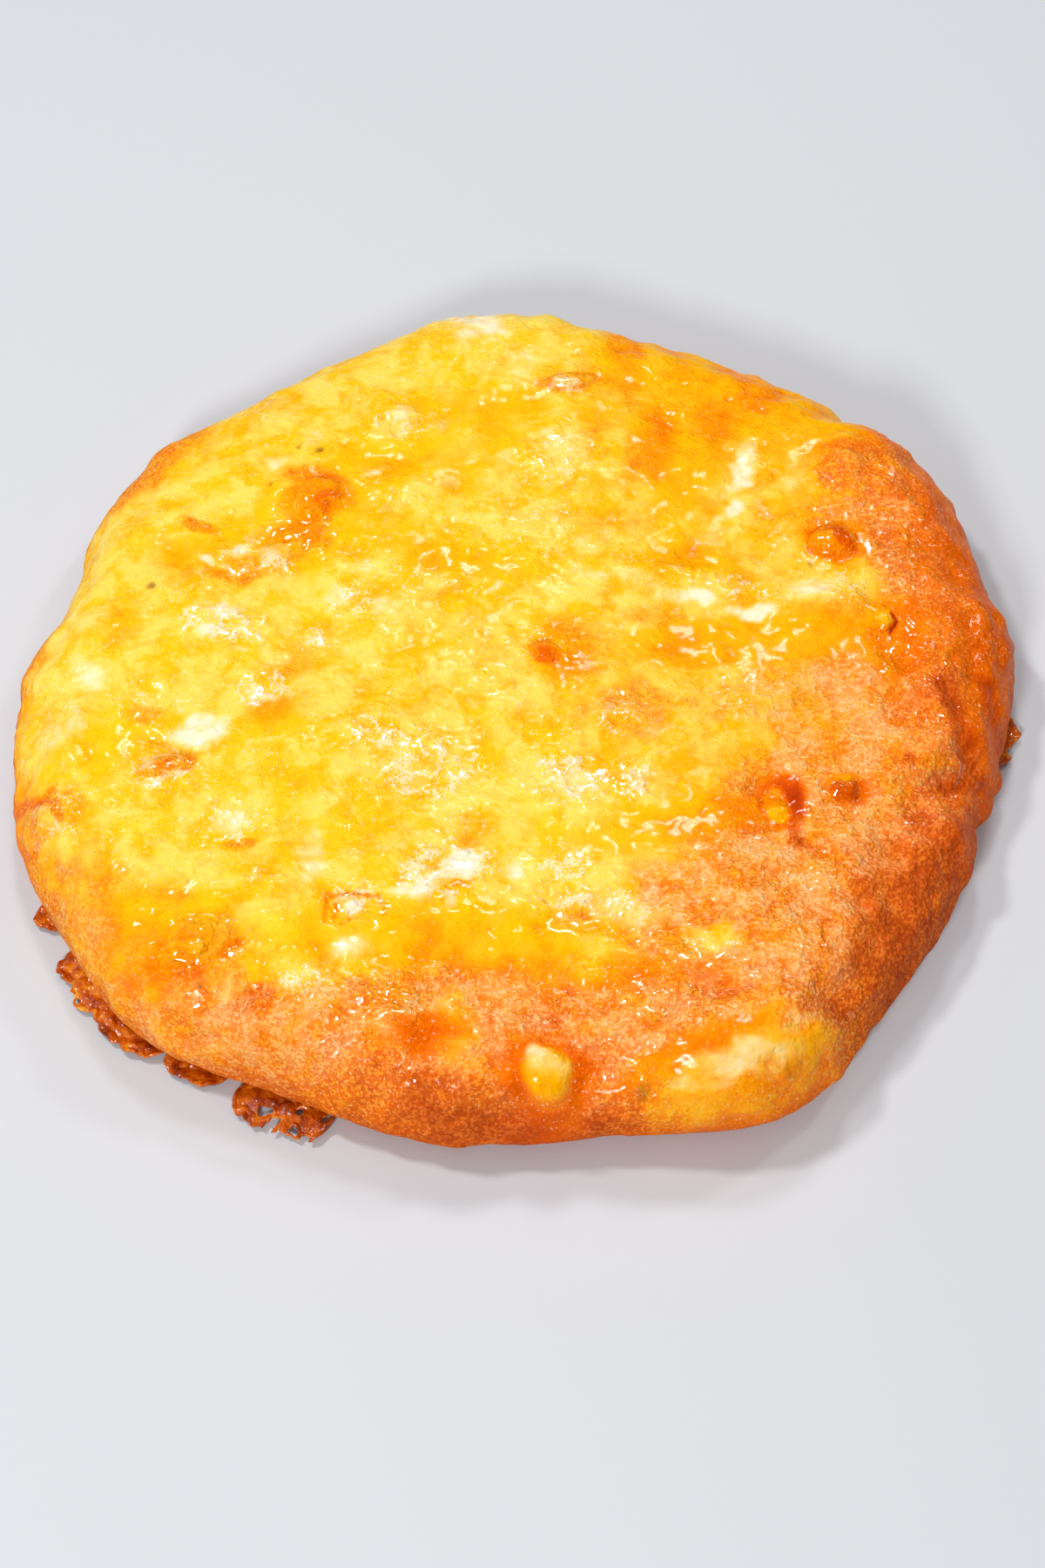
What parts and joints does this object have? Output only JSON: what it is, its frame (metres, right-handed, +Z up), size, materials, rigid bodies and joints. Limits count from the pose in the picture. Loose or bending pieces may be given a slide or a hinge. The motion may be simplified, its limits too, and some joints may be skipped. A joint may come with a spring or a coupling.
{
  "type": "cheese bun",
  "caption": "Round flat cheese bun, fried golden, with an uneven rim, a blistered crust, pale cheese nuggets and lacy browned frills at its foot.",
  "frame": {"origin": "in the plane of the flat underside, in the middle of the bun's outline", "axes": "+Z up through the thin bun, -Y towards the front, where the pale raised roll lies to the right of the middle"},
  "size_m": [0.114, 0.1137, 0.0159],
  "materials": {
    "crust": "golden to browned fried crust with an oily sheen",
    "fried_cheese": "glossy caramel-brown fried cheese"
  },
  "bodies": {
    "root": {"cheese_bun": "crust"}
  },
  "joints": []
}
